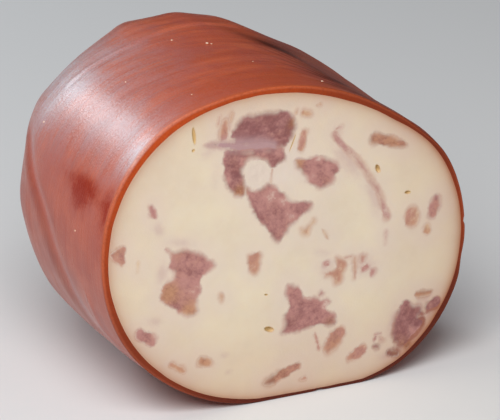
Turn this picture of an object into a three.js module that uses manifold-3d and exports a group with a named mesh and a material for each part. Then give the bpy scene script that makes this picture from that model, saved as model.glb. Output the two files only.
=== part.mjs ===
// Half of a log of smoked processed cheese with pieces of ham in it, lying on its flattened side.
// Sizes are in millimetres. +Z is up, the log runs along Y, and its cut face looks along -Y.
// Places on the cut are given from its middle: x to the right, z up.

import * as THREE from "three";
import { mergeVertices } from "three/addons/utils/BufferGeometryUtils.js";
import Module from "manifold-3d";

const wasm = await Module();
wasm.setup();

// The log.
const LENGTH = 98; // from the cut to the tip of the rounded end
const CENTRE_HEIGHT = 42.6; // middle of the cut above the table
// Middle of the cut to the skin, at equal turns from +X through +Z.
const SKIN_RADII = [52.9, 49.9, 44.4, 42.6, 43.2, 46.0, 51.1, 53.1, 52.5, 50.7, 47.3, 44.6, 43.0, 46.9, 52.5, 54.4];
const STRAIGHT_LENGTH = 48.5; // the log keeps its full section up to here
const SIDE_CURVE = { rise: 2.1, root: 1.37 }; // how the two sides close to the tip
const TOP_CURVE = { rise: 3.2, root: 1.5 }; // how top and underside close to the tip
const DRIFT = { by: 3.2, from: 10, to: 90 }; // the log bends to +X towards its tip
const LIFT = { by: 3.1, from: 35, to: LENGTH }; // and its tip rises a little
// Soft pleats of the gathered casing, as the turn of each crest in degrees.
const PLEAT_CRESTS = [12, 42, 72, 90, 113, 154, 180, 208, 236, 264, 292, 320, 346];
const PLEATS = { depth: 1.1, from: 39, to: 80 };
const DIMPLE = { depth: 1.6, radius: 5 }; // where the casing was tied
const SKIN_SIDES = 80;
const SKIN_RINGS = 27;
const RING_CROWDING = 1.6; // rings lie closer together towards the tip

// The ham.
const GAP = 0.3; // between a piece of ham and its pocket
const DEPTH_SHARE = 0.8; // depth of a piece, as a share of its mean width on the cut
const STRAIGHT_SHARE = 0.6; // share of the depth before a piece starts to close
const BACK_PASSES = 6; // how much softer its outline is at the back
const OUTLINE_STEP = 1.9; // spacing of the points along an outline
const OUTLINE_POINTS = { least: 9, most: 36 };
const KNIFE_PASS = 4; // how far pieces and pockets start in front of the cut
const CHUNK_CORNERS = 10;
const CHUNK_SQUARENESS = 0.72; // 1 is an ellipse, less is more like a box
const STREAK_WIDTH = 1.2;

const FINISHES = {
  cheese: { color: 0xdecdb2, roughness: 0.5 },
  ham: { color: 0xa8686a, roughness: 0.45 },
  ham_pale: { color: 0xbd8c6e, roughness: 0.5 },
  fat: { color: 0xd8cbbd, roughness: 0.45 },
  sinew: { color: 0xbb979b, roughness: 0.4 },
};

// Small pieces: the middle, length and width on the cut, the turn of the length in degrees,
// and how much wider the far end is than the near one.
const CHUNKS = [
  { name: "ham_strip_top", finish: "ham_pale", x: -17.9, z: 34.2, long: 6, wide: 2.4, turn: 80, taper: -0.2 },
  { name: "ham_speck_top", finish: "ham_pale", x: 5.6, z: 35, long: 3.4, wide: 1.7, turn: -10, taper: -0.3 },
  { name: "ham_strip_middle", finish: "ham_pale", x: 4.6, z: 27.9, long: 6.2, wide: 2.5, turn: 80, taper: 0.1 },
  { name: "ham_sliver_right", finish: "ham_pale", x: 29.7, z: 23.7, long: 12, wide: 3, turn: -19, taper: -0.3 },
  { name: "ham_oval_right", finish: "ham_pale", x: 36.9, z: 1.6, long: 5.8, wide: 4.4, turn: 80, taper: 0 },
  { name: "ham_slant_right", finish: "ham", x: 43.8, z: 3.3, long: 6.6, wide: 3, turn: 72, taper: 0.1 },
  { name: "ham_tail_right", finish: "ham_pale", x: 41.6, z: -2.6, long: 3.2, wide: 2.2, turn: 80, taper: -0.1 },
  { name: "ham_slant_left", finish: "ham", x: -38.2, z: 15.3, long: 4.8, wide: 1.9, turn: -68, taper: 0 },
  { name: "ham_wedge_left", finish: "ham_pale", x: -47.5, z: 4.7, long: 5, wide: 3.8, turn: 112, taper: 0.6 },
  { name: "ham_wedge_middle", finish: "ham_pale", x: -9.3, z: -3.7, long: 6.2, wide: 3.8, turn: 94, taper: 0.35 },
  { name: "ham_slab_low", finish: "ham_pale", x: 14.1, z: -29.1, long: 8.4, wide: 4.4, turn: 50, taper: 0.05 },
  { name: "ham_flake_low", finish: "ham_pale", x: 20.8, z: -34.2, long: 6.6, wide: 2.8, turn: 24, taper: 0.2 },
  { name: "ham_bar_low", finish: "ham_pale", x: -1.1, z: -35.9, long: 11.4, wide: 2.6, turn: 19, taper: -0.05 },
  { name: "ham_strip_corner", finish: "ham_pale", x: 40.8, z: -20.5, long: 5.3, wide: 2.1, turn: -4, taper: 0.1 },
  { name: "ham_flake_corner", finish: "ham", x: 43.7, z: -24, long: 4.6, wide: 2.6, turn: 25, taper: 0.1 },
  { name: "ham_speck_corner", finish: "ham", x: 31.7, z: -35.9, long: 4, wide: 2.1, turn: -18, taper: 0 },
  { name: "ham_flake_left", finish: "ham", x: -40.5, z: -18.6, long: 6.6, wide: 3.2, turn: -38, taper: 0.1 },
  { name: "ham_sliver_left", finish: "ham_pale", x: -31.4, z: -28.5, long: 5.6, wide: 1.6, turn: -32, taper: -0.1 },
  { name: "ham_wedge_low", finish: "ham_pale", x: -23.7, z: -28.3, long: 4.4, wide: 2.8, turn: -24, taper: -0.3 },
  { name: "fat_blob", finish: "fat", x: -8.3, z: 20.8, long: 6.4, wide: 6, turn: 30, taper: 0 },
];

// Large pieces: the corners of each one on the cut, rounded into one closed curve.
const LUMPS = [
  {
    name: "ham_cap", // the half-round piece at the top
    finish: "ham",
    corners: [
      [-16.1, 32.2], [-14, 35.5], [-12, 36.6], [-3.5, 36.9], [0.6, 36], [2.4, 33.8],
      [2.3, 30.5], [-0.2, 27.6], [-2.5, 27.6], [-5.5, 29.2], [-13.6, 30.2],
    ],
  },
  {
    name: "sinew_band", // the bluish skin below it
    finish: "sinew",
    corners: [
      [-21.2, 30.8], [-15.6, 30.1], [-12.8, 29.4], [-5.7, 28.7], [-2.7, 27],
      [-3.6, 26.9], [-7.5, 27.7], [-12, 27.9], [-15, 28.5], [-18.5, 29.4],
    ],
  },
  {
    name: "ham_curl", // bends round the fat
    finish: "ham",
    corners: [
      [-17.4, 28], [-12, 27.3], [-7.5, 27.1], [-1.2, 26], [-0.6, 23.6], [-2.4, 22.3],
      [-4.2, 21.8], [-6.2, 24], [-8.4, 24.8], [-11, 25.1], [-12.5, 22.8], [-12.2, 19.5],
      [-12.4, 15.6], [-14.2, 15.4], [-16.9, 18.8], [-18, 23],
    ],
  },
  {
    name: "ham_hook",
    finish: "ham",
    corners: [
      [-11.4, 17.6], [-9.7, 16.3], [-7.5, 16.7], [-5, 17.5], [-3.7, 16.8], [-1, 14.7],
      [0.4, 12.4], [3.3, 11.1], [6.8, 10.8], [7.6, 10], [6.9, 8.8], [3.3, 6.8],
      [0, 3.6], [-2, 1.4], [-3.4, 1.1], [-4.8, 4], [-8.8, 9.3], [-10.6, 13],
    ],
  },
  {
    name: "ham_diamond",
    finish: "ham",
    corners: [
      [2.4, 22.8], [6.9, 22.4], [9, 23], [12, 21.8], [15.5, 18.6],
      [14.2, 16.5], [12.8, 15], [10, 13.8], [8.5, 14.4], [5, 18.5],
    ],
  },
  {
    name: "ham_fork", // the small forked piece in the middle
    finish: "ham_pale",
    corners: [[4, 3.9], [5.4, 3.9], [8, 6], [8.4, 5.2], [7, 3.2], [6.5, 1.8], [4.4, 2.3]],
  },
  {
    name: "ham_big_left",
    finish: "ham",
    corners: [
      [-35, 4.8], [-31.9, 3.4], [-29.7, 3.5], [-26.9, 2.7], [-24, 1.3], [-20.6, -2.2],
      [-22.6, -3.3], [-24.9, -5.9], [-24.5, -8], [-26, -12.3], [-25.5, -14], [-27, -15.1],
      [-30.4, -13.7], [-35.4, -10.1], [-36.1, -8.6], [-35.2, -5.2], [-32.4, -4],
      [-32.4, -2], [-34, -0.8], [-33.4, 2],
    ],
  },
  {
    name: "ham_block_middle",
    finish: "ham_pale",
    corners: [
      [14.4, -5.8], [15.6, -6.4], [17.9, -7.5], [17.8, -9.3], [16.8, -10.8], [16, -13.4],
      [14.4, -13.4], [13.2, -11.4], [11.4, -11], [11.3, -9.8], [13.5, -9.3], [14.7, -8.4],
    ],
  },
  {
    name: "ham_big_low",
    finish: "ham",
    corners: [
      [0.3, -10.9], [2.4, -12], [3.7, -12.7], [5.5, -15.6], [7.9, -15.9], [11, -17.2],
      [12.9, -17.9], [11.6, -19.8], [14.5, -22.2], [14.2, -25.1], [12.6, -25], [9.7, -23.9],
      [5.3, -24.6], [0, -24.8], [-1.8, -24.2], [-0.3, -22.2], [-0.7, -19.3], [0.8, -17.7],
      [0.6, -15.6], [-0.3, -12.5],
    ],
  },
  {
    name: "ham_big_corner",
    finish: "ham",
    corners: [
      [35, -21.9], [36.2, -21.6], [37.9, -23.4], [39.7, -23.7], [40.6, -25.5], [39.4, -26.9],
      [40.9, -28.7], [38.2, -31.6], [34.4, -34.4], [33.2, -33.1], [32.1, -32.5], [32.1, -30.2],
      [32.6, -26.9], [33.5, -24.3],
    ],
  },
];

// The line of the thin streak on the right.
const STREAK_LINE = [[13.8, 28.4], [15.9, 25], [20.6, 20.3], [24, 15], [26.9, 10.3], [28.7, 5.6], [29.8, 2.2]];

const FULL_TURN = 2 * Math.PI;

/** 0 before from, 1 after to, and a smooth step between them. */
function ease(value, { from, to }) {
  const share = THREE.MathUtils.clamp((value - from) / (to - from), 0, 1);
  return share * share * (3 - 2 * share);
}

/** Middle of the cut to the skin at an angle: a smooth closed curve through SKIN_RADII. */
function skinRadius(angle) {
  const count = SKIN_RADII.length;
  const place = (angle / FULL_TURN) * count;
  const first = Math.floor(place);
  const t = place - first;
  const [before, start, end, after] = [-1, 0, 1, 2].map((k) => SKIN_RADII[(first + k + count) % count]);
  const bend = 2 * before - 5 * start + 4 * end - after;
  const twist = 3 * (start - end) + after - before;
  return start + 0.5 * t * (end - before + t * (bend + t * twist));
}

/** Radius share at an angle of the soft polygon whose corners are the pleats' crests: 1 at a crest. */
function pleatShare(angle) {
  const turn = THREE.MathUtils.radToDeg(angle);
  const crests = [...PLEAT_CRESTS, PLEAT_CRESTS[0] + 360];
  const lap = turn < crests[0] ? turn + 360 : turn;
  const next = crests.findIndex((crest) => crest > lap);
  const last = next < 0 ? crests.length - 1 : next;
  const middle = (crests[last] + crests[last - 1]) / 2;
  const half = (crests[last] - crests[last - 1]) / 2;
  return Math.cos(THREE.MathUtils.degToRad(half)) / Math.cos(THREE.MathUtils.degToRad(lap - middle));
}

/** How wide the section still is at a share of the way through the rounded end. */
function closing(share, { rise, root }) {
  return (1 - share ** rise) ** (1 / root);
}

/** The point of the skin at an angle round the log and a distance y behind the cut. */
function skinPoint(angle, y) {
  const share = THREE.MathUtils.clamp((y - STRAIGHT_LENGTH) / (LENGTH - STRAIGHT_LENGTH), 0, 1);
  const pleats = PLEATS.depth * ease(y, PLEATS);
  const radius = skinRadius(angle) * (1 + pleats * (pleatShare(angle) - 1));
  const across = closing(share, SIDE_CURVE) * radius * Math.cos(angle);
  const up = closing(share, TOP_CURVE) * radius * Math.sin(angle);
  const x = across + DRIFT.by * ease(y, DRIFT);
  const z = Math.max(up + LIFT.by * ease(y, LIFT), -CENTRE_HEIGHT);
  const dimple = DIMPLE.depth * Math.exp(-((across / DIMPLE.radius) ** 2) - (up / DIMPLE.radius) ** 2);
  return [x, y - dimple, z];
}

/** A closed body through rings of equally many points, front ring first, with a flat face at each end. */
function loft(rings) {
  const count = rings[0].length;
  const faces = [];
  for (let ring = 0; ring < rings.length - 1; ring += 1) {
    const near = ring * count;
    const far = near + count;
    for (let side = 0; side < count; side += 1) {
      const beside = (side + 1) % count;
      faces.push(near + side, far + side, far + beside, near + side, far + beside, near + beside);
    }
  }
  const cap = (ring) => THREE.ShapeUtils.triangulateShape(ring.map(([x, , z]) => new THREE.Vector2(x, z)), []);
  const last = (rings.length - 1) * count;
  cap(rings[0]).forEach(([a, b, c]) => faces.push(a, b, c));
  cap(rings.at(-1)).forEach(([a, b, c]) => faces.push(last + a, last + c, last + b));
  const geometry = new THREE.BufferGeometry();
  geometry.setAttribute("position", new THREE.Float32BufferAttribute(rings.flat(2), 3));
  geometry.setIndex(faces);
  return geometry;
}

/** The log without its pockets: rings of the skin from the cut to the tip. */
function logGeometry() {
  const rings = [];
  for (let ring = 0; ring < SKIN_RINGS; ring += 1) {
    const y = LENGTH * (1 - (1 - ring / SKIN_RINGS) ** RING_CROWDING);
    const turns = Array.from({ length: SKIN_SIDES }, (_, side) => (side / SKIN_SIDES) * FULL_TURN);
    rings.push(turns.map((angle) => skinPoint(angle, y)));
  }
  return loft(rings);
}

/** The solid that a closed geometry bounds. */
function solid(geometry) {
  const bare = geometry.clone();
  bare.deleteAttribute("normal");
  bare.deleteAttribute("uv");
  const merged = mergeVertices(bare);
  const mesh = new wasm.Mesh({
    numProp: 3,
    vertProperties: new Float32Array(merged.attributes.position.array),
    triVerts: new Uint32Array(merged.index.array),
  });
  return new wasm.Manifold(mesh);
}

/** The geometry of a solid, with flat faces. */
function geometryOf(body) {
  const { vertProperties, triVerts } = body.getMesh();
  const geometry = new THREE.BufferGeometry();
  geometry.setAttribute("position", new THREE.BufferAttribute(vertProperties, 3));
  geometry.setIndex(new THREE.BufferAttribute(triVerts, 1));
  geometry.computeVertexNormals();
  return geometry;
}

/** A closed curve through the corners, as points spaced evenly along it. */
function smoothOutline(corners) {
  const curve = new THREE.CatmullRomCurve3(
    corners.map(([x, z]) => new THREE.Vector3(x, z, 0)),
    true,
    "centripetal",
  );
  const wanted = Math.round(curve.getLength() / OUTLINE_STEP);
  const count = THREE.MathUtils.clamp(wanted, OUTLINE_POINTS.least, OUTLINE_POINTS.most);
  const points = curve.getSpacedPoints(count).map(({ x, y }) => new THREE.Vector2(x, y));
  points.pop();
  return THREE.ShapeUtils.isClockWise(points) ? points.reverse() : points;
}

/** Corners of a small boxy piece with rounded ends, one of them wider than the other. */
function chunkCorners({ x, z, long, wide, turn, taper }) {
  const soften = (value) => Math.sign(value) * Math.abs(value) ** CHUNK_SQUARENESS;
  const middle = new THREE.Vector2(x, z);
  const corners = [];
  for (let corner = 0; corner < CHUNK_CORNERS; corner += 1) {
    const angle = (corner / CHUNK_CORNERS) * FULL_TURN;
    const along = soften(Math.cos(angle));
    const side = soften(Math.sin(angle)) * (1 + taper * along);
    const point = new THREE.Vector2(x + (along * long) / 2, z + (side * wide) / 2);
    corners.push(point.rotateAround(middle, THREE.MathUtils.degToRad(turn)).toArray());
  }
  return corners;
}

/** Corners of a strip of even width along a line: down one side of it and back up the other. */
function streakCorners(line, width) {
  const sides = [[], []];
  line.forEach(([x, z], index) => {
    const [fromX, fromZ] = line[Math.max(index - 1, 0)];
    const [toX, toZ] = line[Math.min(index + 1, line.length - 1)];
    const across = new THREE.Vector2(fromZ - toZ, toX - fromX).setLength(width / 2);
    sides[0].push([x + across.x, z + across.y]);
    sides[1].push([x - across.x, z - across.y]);
  });
  return [...sides[0], ...sides[1].reverse()];
}

/** Everything behind the cut, as a block that a piece is trimmed with. */
function behindTheCut() {
  const block = new THREE.BoxGeometry(4 * LENGTH, 2 * LENGTH, 4 * LENGTH);
  block.translate(0, LENGTH, 0);
  return solid(block);
}

/** The outline moved outwards by a distance. */
function grown(outline, distance) {
  return outline.map((point, k) => {
    const tangent = outline[(k + 1) % outline.length].clone().sub(outline.at(k - 1));
    return new THREE.Vector2(tangent.y, -tangent.x).setLength(distance).add(point);
  });
}

/** The outline with its corners drawn in: each pass moves a point half way to its neighbours' middle. */
function drawnIn(outline, passes) {
  if (passes === 0) {
    return outline;
  }
  const softer = outline.map((point, k) => {
    const between = outline.at(k - 1).clone().lerp(outline[(k + 1) % outline.length], 0.5);
    return point.clone().lerp(between, 0.5);
  });
  return drawnIn(softer, passes - 1);
}

/** A lump with the given outline on the cut, about as deep as it is wide, with a softer back.
 *  It starts in front of the cut, and is larger all round by grow. */
function lump(outline, grow) {
  const depth = DEPTH_SHARE * Math.sqrt(Math.abs(THREE.ShapeUtils.area(outline)));
  const front = grown(outline, grow);
  const back = grown(drawnIn(outline, BACK_PASSES), grow);
  const ring = (points, y) => points.map((point) => [point.x, y, point.y]);
  return solid(loft([
    ring(front, -KNIFE_PASS),
    ring(front, depth * STRAIGHT_SHARE),
    ring(back, depth + grow),
  ]));
}

/** The largest of a solid's separate bodies: scraps that pockets cut loose fall away. */
function largestBody(body) {
  return body.decompose().sort((a, b) => b.volume() - a.volume())[0];
}

/** A named mesh of a solid in one of the finishes. */
function meshOf(name, body, finish) {
  const material = new THREE.MeshStandardMaterial({ ...FINISHES[finish], metalness: 0, flatShading: true });
  const mesh = new THREE.Mesh(geometryOf(body), material);
  mesh.name = name;
  return mesh;
}

/** Every piece in the cheese that shows on the cut: its name, finish and outline. */
function piecesOnTheCut() {
  const chunks = CHUNKS.map((chunk) => ({ ...chunk, corners: chunkCorners(chunk) }));
  const streak = { name: "sinew_streak", finish: "sinew", corners: streakCorners(STREAK_LINE, STREAK_WIDTH) };
  return [...LUMPS, ...chunks, streak].map(({ name, finish, corners }) => ({
    name,
    finish,
    outline: smoothOutline(corners),
  }));
}

const model = new THREE.Group();
const behind = behindTheCut();
let cheese = solid(logGeometry());
for (const { name, finish, outline } of piecesOnTheCut()) {
  cheese = cheese.subtract(lump(outline, GAP));
  model.add(meshOf(name, lump(outline, 0).intersect(behind), finish));
}
model.add(meshOf("cheese", largestBody(cheese), "cheese"));

// The origin is under the middle of the whole, on the table.
const extent = new THREE.Box3().setFromObject(model);
const middle = extent.getCenter(new THREE.Vector3());
model.position.set(-middle.x, -middle.y, -extent.min.z);

export default model;
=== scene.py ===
import math
from collections import namedtuple

import bpy
import numpy as np
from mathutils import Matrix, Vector


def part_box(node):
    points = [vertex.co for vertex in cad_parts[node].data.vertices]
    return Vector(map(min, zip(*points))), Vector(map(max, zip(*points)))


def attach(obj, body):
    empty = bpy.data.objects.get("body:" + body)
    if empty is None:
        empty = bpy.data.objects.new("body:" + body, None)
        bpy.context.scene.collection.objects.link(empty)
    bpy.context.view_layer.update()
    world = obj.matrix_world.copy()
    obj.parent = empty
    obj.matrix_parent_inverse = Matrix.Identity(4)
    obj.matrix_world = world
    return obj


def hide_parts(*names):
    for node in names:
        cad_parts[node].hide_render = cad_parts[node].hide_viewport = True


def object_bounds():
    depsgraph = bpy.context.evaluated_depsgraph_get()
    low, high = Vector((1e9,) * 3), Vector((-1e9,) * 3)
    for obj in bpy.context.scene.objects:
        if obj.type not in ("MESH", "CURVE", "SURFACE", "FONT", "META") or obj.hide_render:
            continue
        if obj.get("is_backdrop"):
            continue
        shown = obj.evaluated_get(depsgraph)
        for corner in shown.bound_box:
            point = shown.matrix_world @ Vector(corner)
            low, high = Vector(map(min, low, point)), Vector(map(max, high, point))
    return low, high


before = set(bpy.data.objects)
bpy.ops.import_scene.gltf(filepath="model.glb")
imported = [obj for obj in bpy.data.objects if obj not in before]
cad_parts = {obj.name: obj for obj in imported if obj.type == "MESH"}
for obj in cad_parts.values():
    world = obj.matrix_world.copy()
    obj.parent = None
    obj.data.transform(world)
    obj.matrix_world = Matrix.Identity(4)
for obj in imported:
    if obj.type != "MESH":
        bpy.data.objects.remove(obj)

cad_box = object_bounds()
MILLIMETRE = 0.001
BODY = "root"
FULL_TURN = 2 * math.pi

# ---------------------------------------------------------------------------------------------
# The ham. Cooked ham, diced coarsely and stirred into the molten cheese, so it lies at all turns.
# The knife goes through the pieces, and each shows its section, flush with the cut. Every piece
# fills its own pocket, about as deep as it is wide, and replaces the solid of the same name.

CENTRE_HEIGHT = 42.6  # middle of the cut above the table
CUT_MIDDLE = np.array([-0.98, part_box("cheese")[0].y / MILLIMETRE, CENTRE_HEIGHT])
DEPTH_SHARE = 0.8  # depth of a piece, as a share of its mean width on the cut
STRAIGHT_SHARE = 0.6  # share of the depth before a piece starts to close
BACK_SPREAD = 3.3  # how far the outline's corners are drawn in at the back
KNIFE_PASS = 4.0  # pieces and pockets are made this far through the cut, then trimmed
CHUNK_CORNERS = 10
CHUNK_SQUARENESS = 0.72  # 1 is an ellipse, less is more like a box
STREAK_WIDTH = 1.2
SINEW_STRENGTH = 0.85  # how much of the meat's colour the bluish skin hides
OUTLINE_GRAIN = 0.3  # spacing of the points along a ragged outline
LUMP_TEAR, BIT_TEAR, STREAK_TEAR = 0.3, 0.22, 0.2  # how far torn edges move out and in
BIT_TAPER = 0.2
HAM_GRAIN = 0.22  # spacing of the points on the section of a piece
SLAB_MARGIN = 0.8  # a piece is cut from a block this much larger
HAM_PROUD = 0.02  # ham dries less than cheese, so it stands this proud of the cut

# Small pieces: name, finish, middle, length and width on the cut, the turn of the length in degrees,
# how much wider the far end is, and how pale the piece is, from 0 to 1.
CHUNKS = [
    ("ham_strip_top", "ham_pale", -17.9, 34.2, 6, 2.4, 80, -0.2, 0.42),
    ("ham_speck_top", "ham_pale", 5.6, 35, 3.4, 1.7, -10, -0.3, 0.5),
    ("ham_strip_middle", "ham_pale", 4.6, 27.9, 6.2, 2.5, 80, 0.1, 0.55),
    ("ham_sliver_right", "ham_pale", 29.7, 23.7, 12, 3, -19, -0.3, 0.15),
    ("ham_oval_right", "ham_pale", 36.9, 1.6, 5.8, 4.4, 80, 0, 0.5),
    ("ham_slant_right", "ham", 43.8, 3.3, 6.6, 3, 72, 0.1, 0.25),
    ("ham_tail_right", "ham_pale", 41.6, -2.6, 3.2, 2.2, 80, -0.1, 0.6),
    ("ham_slant_left", "ham", -38.2, 15.3, 4.8, 1.9, -68, 0, 0.35),
    ("ham_wedge_left", "ham_pale", -47.5, 4.7, 5, 3.8, 112, 0.6, 0.25),
    ("ham_wedge_middle", "ham_pale", -9.3, -3.7, 6.2, 3.8, 94, 0.35, 0.42),
    ("ham_slab_low", "ham_pale", 14.1, -29.1, 8.4, 4.4, 50, 0.05, 0.4),
    ("ham_flake_low", "ham_pale", 20.8, -34.2, 6.6, 2.8, 24, 0.2, 0.35),
    ("ham_bar_low", "ham_pale", -1.1, -35.9, 11.4, 2.6, 19, -0.05, 0.1),
    ("ham_strip_corner", "ham_pale", 40.8, -20.5, 5.3, 2.1, -4, 0.1, 0.1),
    ("ham_flake_corner", "ham", 43.7, -24, 4.6, 2.6, 25, 0.1, -0.05),
    ("ham_speck_corner", "ham", 31.7, -35.9, 4, 2.1, -18, 0, -0.3),
    ("ham_flake_left", "ham", -40.5, -18.6, 6.6, 3.2, -38, 0.1, 0.28),
    ("ham_sliver_left", "ham_pale", -31.4, -28.5, 5.6, 1.6, -32, -0.1, 0.4),
    ("ham_wedge_low", "ham_pale", -23.7, -28.3, 4.4, 2.8, -24, -0.3, 0.35),
    ("fat_blob", "fat", -8.3, 20.8, 6.4, 6, 30, 0, 0.5),
]

# Large pieces: name, finish, how pale, the turn of their fibres, and their corners on the cut.
LUMPS = [
    ("ham_cap", "ham", -0.06, 0, [  # the half-round piece at the top
        (-16.1, 32.2), (-14, 35.5), (-12, 36.6), (-3.5, 36.9), (0.6, 36), (2.4, 33.8),
        (2.3, 30.5), (-0.2, 27.6), (-2.5, 27.6), (-5.5, 29.2), (-13.6, 30.2)]),
    ("sinew_band", "sinew", 0.3, -6, [  # the bluish skin below it
        (-21.2, 30.8), (-15.6, 30.1), (-12.8, 29.4), (-5.7, 28.7), (-2.7, 27),
        (-3.6, 26.9), (-7.5, 27.7), (-12, 27.9), (-15, 28.5), (-18.5, 29.4)]),
    ("ham_curl", "ham", 0.05, -20, [  # bends round the fat
        (-17.4, 28), (-12, 27.3), (-7.5, 27.1), (-1.2, 26), (-0.6, 23.6), (-2.4, 22.3),
        (-4.2, 21.8), (-6.2, 24), (-8.4, 24.8), (-11, 25.1), (-12.5, 22.8), (-12.2, 19.5),
        (-12.4, 15.6), (-14.2, 15.4), (-16.9, 18.8), (-18, 23)]),
    ("ham_hook", "ham", 0.12, -50, [
        (-11.4, 17.6), (-9.7, 16.3), (-7.5, 16.7), (-5, 17.5), (-3.7, 16.8), (-1, 14.7),
        (0.4, 12.4), (3.3, 11.1), (6.8, 10.8), (7.6, 10), (6.9, 8.8), (3.3, 6.8),
        (0, 3.6), (-2, 1.4), (-3.4, 1.1), (-4.8, 4), (-8.8, 9.3), (-10.6, 13)]),
    ("ham_diamond", "ham", 0.15, -35, [
        (2.4, 22.8), (6.9, 22.4), (9, 23), (12, 21.8), (15.5, 18.6),
        (14.2, 16.5), (12.8, 15), (10, 13.8), (8.5, 14.4), (5, 18.5)]),
    ("ham_fork", "ham_pale", 0.7, 60, [  # the small forked piece in the middle
        (4, 3.9), (5.4, 3.9), (8, 6), (8.4, 5.2), (7, 3.2), (6.5, 1.8), (4.4, 2.3)]),
    ("ham_big_left", "ham", 0.25, -30, [
        (-35, 4.8), (-31.9, 3.4), (-29.7, 3.5), (-26.9, 2.7), (-24, 1.3), (-20.6, -2.2),
        (-22.6, -3.3), (-24.9, -5.9), (-24.5, -8), (-26, -12.3), (-25.5, -14), (-27, -15.1),
        (-30.4, -13.7), (-35.4, -10.1), (-36.1, -8.6), (-35.2, -5.2), (-32.4, -4),
        (-32.4, -2), (-34, -0.8), (-33.4, 2)]),
    ("ham_block_middle", "ham_pale", 0.5, 70, [
        (14.4, -5.8), (15.6, -6.4), (17.9, -7.5), (17.8, -9.3), (16.8, -10.8), (16, -13.4),
        (14.4, -13.4), (13.2, -11.4), (11.4, -11), (11.3, -9.8), (13.5, -9.3), (14.7, -8.4)]),
    ("ham_big_low", "ham", 0.15, 15, [
        (0.3, -10.9), (2.4, -12), (3.7, -12.7), (5.5, -15.6), (7.9, -15.9), (11, -17.2),
        (12.9, -17.9), (11.6, -19.8), (14.5, -22.2), (14.2, -25.1), (12.6, -25), (9.7, -23.9),
        (5.3, -24.6), (0, -24.8), (-1.8, -24.2), (-0.3, -22.2), (-0.7, -19.3), (0.8, -17.7),
        (0.6, -15.6), (-0.3, -12.5)]),
    ("ham_big_corner", "ham", -0.05, 55, [
        (35, -21.9), (36.2, -21.6), (37.9, -23.4), (39.7, -23.7), (40.6, -25.5), (39.4, -26.9),
        (40.9, -28.7), (38.2, -31.6), (34.4, -34.4), (33.2, -33.1), (32.1, -32.5), (32.1, -30.2),
        (32.6, -26.9), (33.5, -24.3)]),
]

# The line of the thin streak on the right.
STREAK_LINE = [(13.8, 28.4), (15.9, 25), (20.6, 20.3), (24, 15), (26.9, 10.3), (28.7, 5.6), (29.8, 2.2)]

PIECE_BROWN = {"ham": 0.08, "ham_pale": 0.55, "sinew": 0.1, "fat": 0.2}
Section = namedtuple("Section", "name finish pale brown turn outline")

# Bits too small for a solid of their own: middle, length, width and turn, how pale, how brown.
BITS = [
    (-18.7, -11.4, 2.4, 1.2, 95, 0.55, 0.6), (11.3, 1.1, 4.2, 0.7, -59, 0.65, 0.8),
    (20.1, -9.8, 6.4, 1.2, 91, 0.62, 0.5), (18.2, -6.6, 2.8, 1.2, 6, 0.7, 0.4),
    (22.5, -7.5, 2.3, 2, 70, 0.45, 0.3), (23.2, -10.4, 2.6, 1.8, 30, 0.5, 0.2),
    (25.4, -12.1, 2.6, 1.6, 75, 0.45, 0.1), (11.8, -7.2, 2, 1.8, 0, 0.5, 0),
    (9.1, -28.4, 6, 1.1, -76, 0.6, 0.5), (26.4, -30.8, 1.9, 0.9, 62, 0.25, 0.3),
    (28.2, -31.3, 1.9, 0.9, -48, 0.28, 0.3), (27.3, -29.7, 2.3, 0.8, 2, 0.35, 0.2),
    (26.6, -33.1, 2.2, 1.2, -12, -0.1, 0.3), (36.2, -34.6, 1.7, 1.2, 40, 0, 1),
    (5, -38.4, 2.2, 0.9, 12, 0.5, 0.5), (10.1, -15.4, 1.7, 1.3, 30, 0.3, 0),
    (15.3, 29.6, 2.4, 1.1, 12, 0.7, 0.3), (9.4, 36.8, 2, 0.8, 5, 0.5, 0.8),
    (29.3, -3, 4.4, 0.8, 86, 0.75, 0.1), (2.9, 35.9, 1.5, 0.9, 55, 0.5, 0.6),
    (-15.9, 37.3, 2.6, 0.7, 72, 0.45, 0.7), (-19.4, 37, 3, 0.8, 76, 0.65, 0.5),
    (-4.3, 19.6, 4.4, 0.7, 84, 0.75, 0.4), (-42.6, 1.2, 3, 0.7, 84, 0.95, 0.9),
]
# Soft stains in the cheese where a piece lies just under the cut: middle, length, width, turn and
# strength.
STAINS = [
    (-36.4, 10.2, 4.6, 3.4, -60, 0.75), (-37.8, -14.6, 4.4, 3, -10, 0.7),
    (-17.9, -27.4, 3.6, 2.4, 0, 0.6), (-16.9, -32.4, 3.6, 2, 10, 0.5),
    (-22.5, 28.6, 6, 3.4, 10, 0.45), (10.5, -4, 7, 3, -15, 0.4), (-8, 28.1, 13, 2.4, -5, 1),
    (39.4, -29.6, 9, 4.5, 52, 0.85), (42.6, -26.5, 6, 3, 60, 0.8), (41.6, -21.8, 6, 3.5, 20, 0.7),
    (31.4, -27.5, 9, 3.2, 72, 0.6), (-30.4, 5.6, 9, 3, -12, 0.6), (-35.8, -2, 6, 3.4, 80, 0.7),
    (22.5, -9.2, 9, 7, -30, 0.75), (12.2, -8.6, 6, 6, 0, 0.6),
    (-20.5, 21.5, 10, 3, 80, 0.3), (18, 19.9, 14, 5.2, -50, 0.75),
    (25.7, 9.3, 14, 4.6, -68, 0.7), (14.6, 28.6, 5, 3, -60, 0.6), (-2.5, 11.5, 8, 6, -40, 0.5),
    (30.4, -36, 6, 3, 10, 0.7), (-17.6, 34.2, 8, 3.8, 76, 0.85),
]
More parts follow.
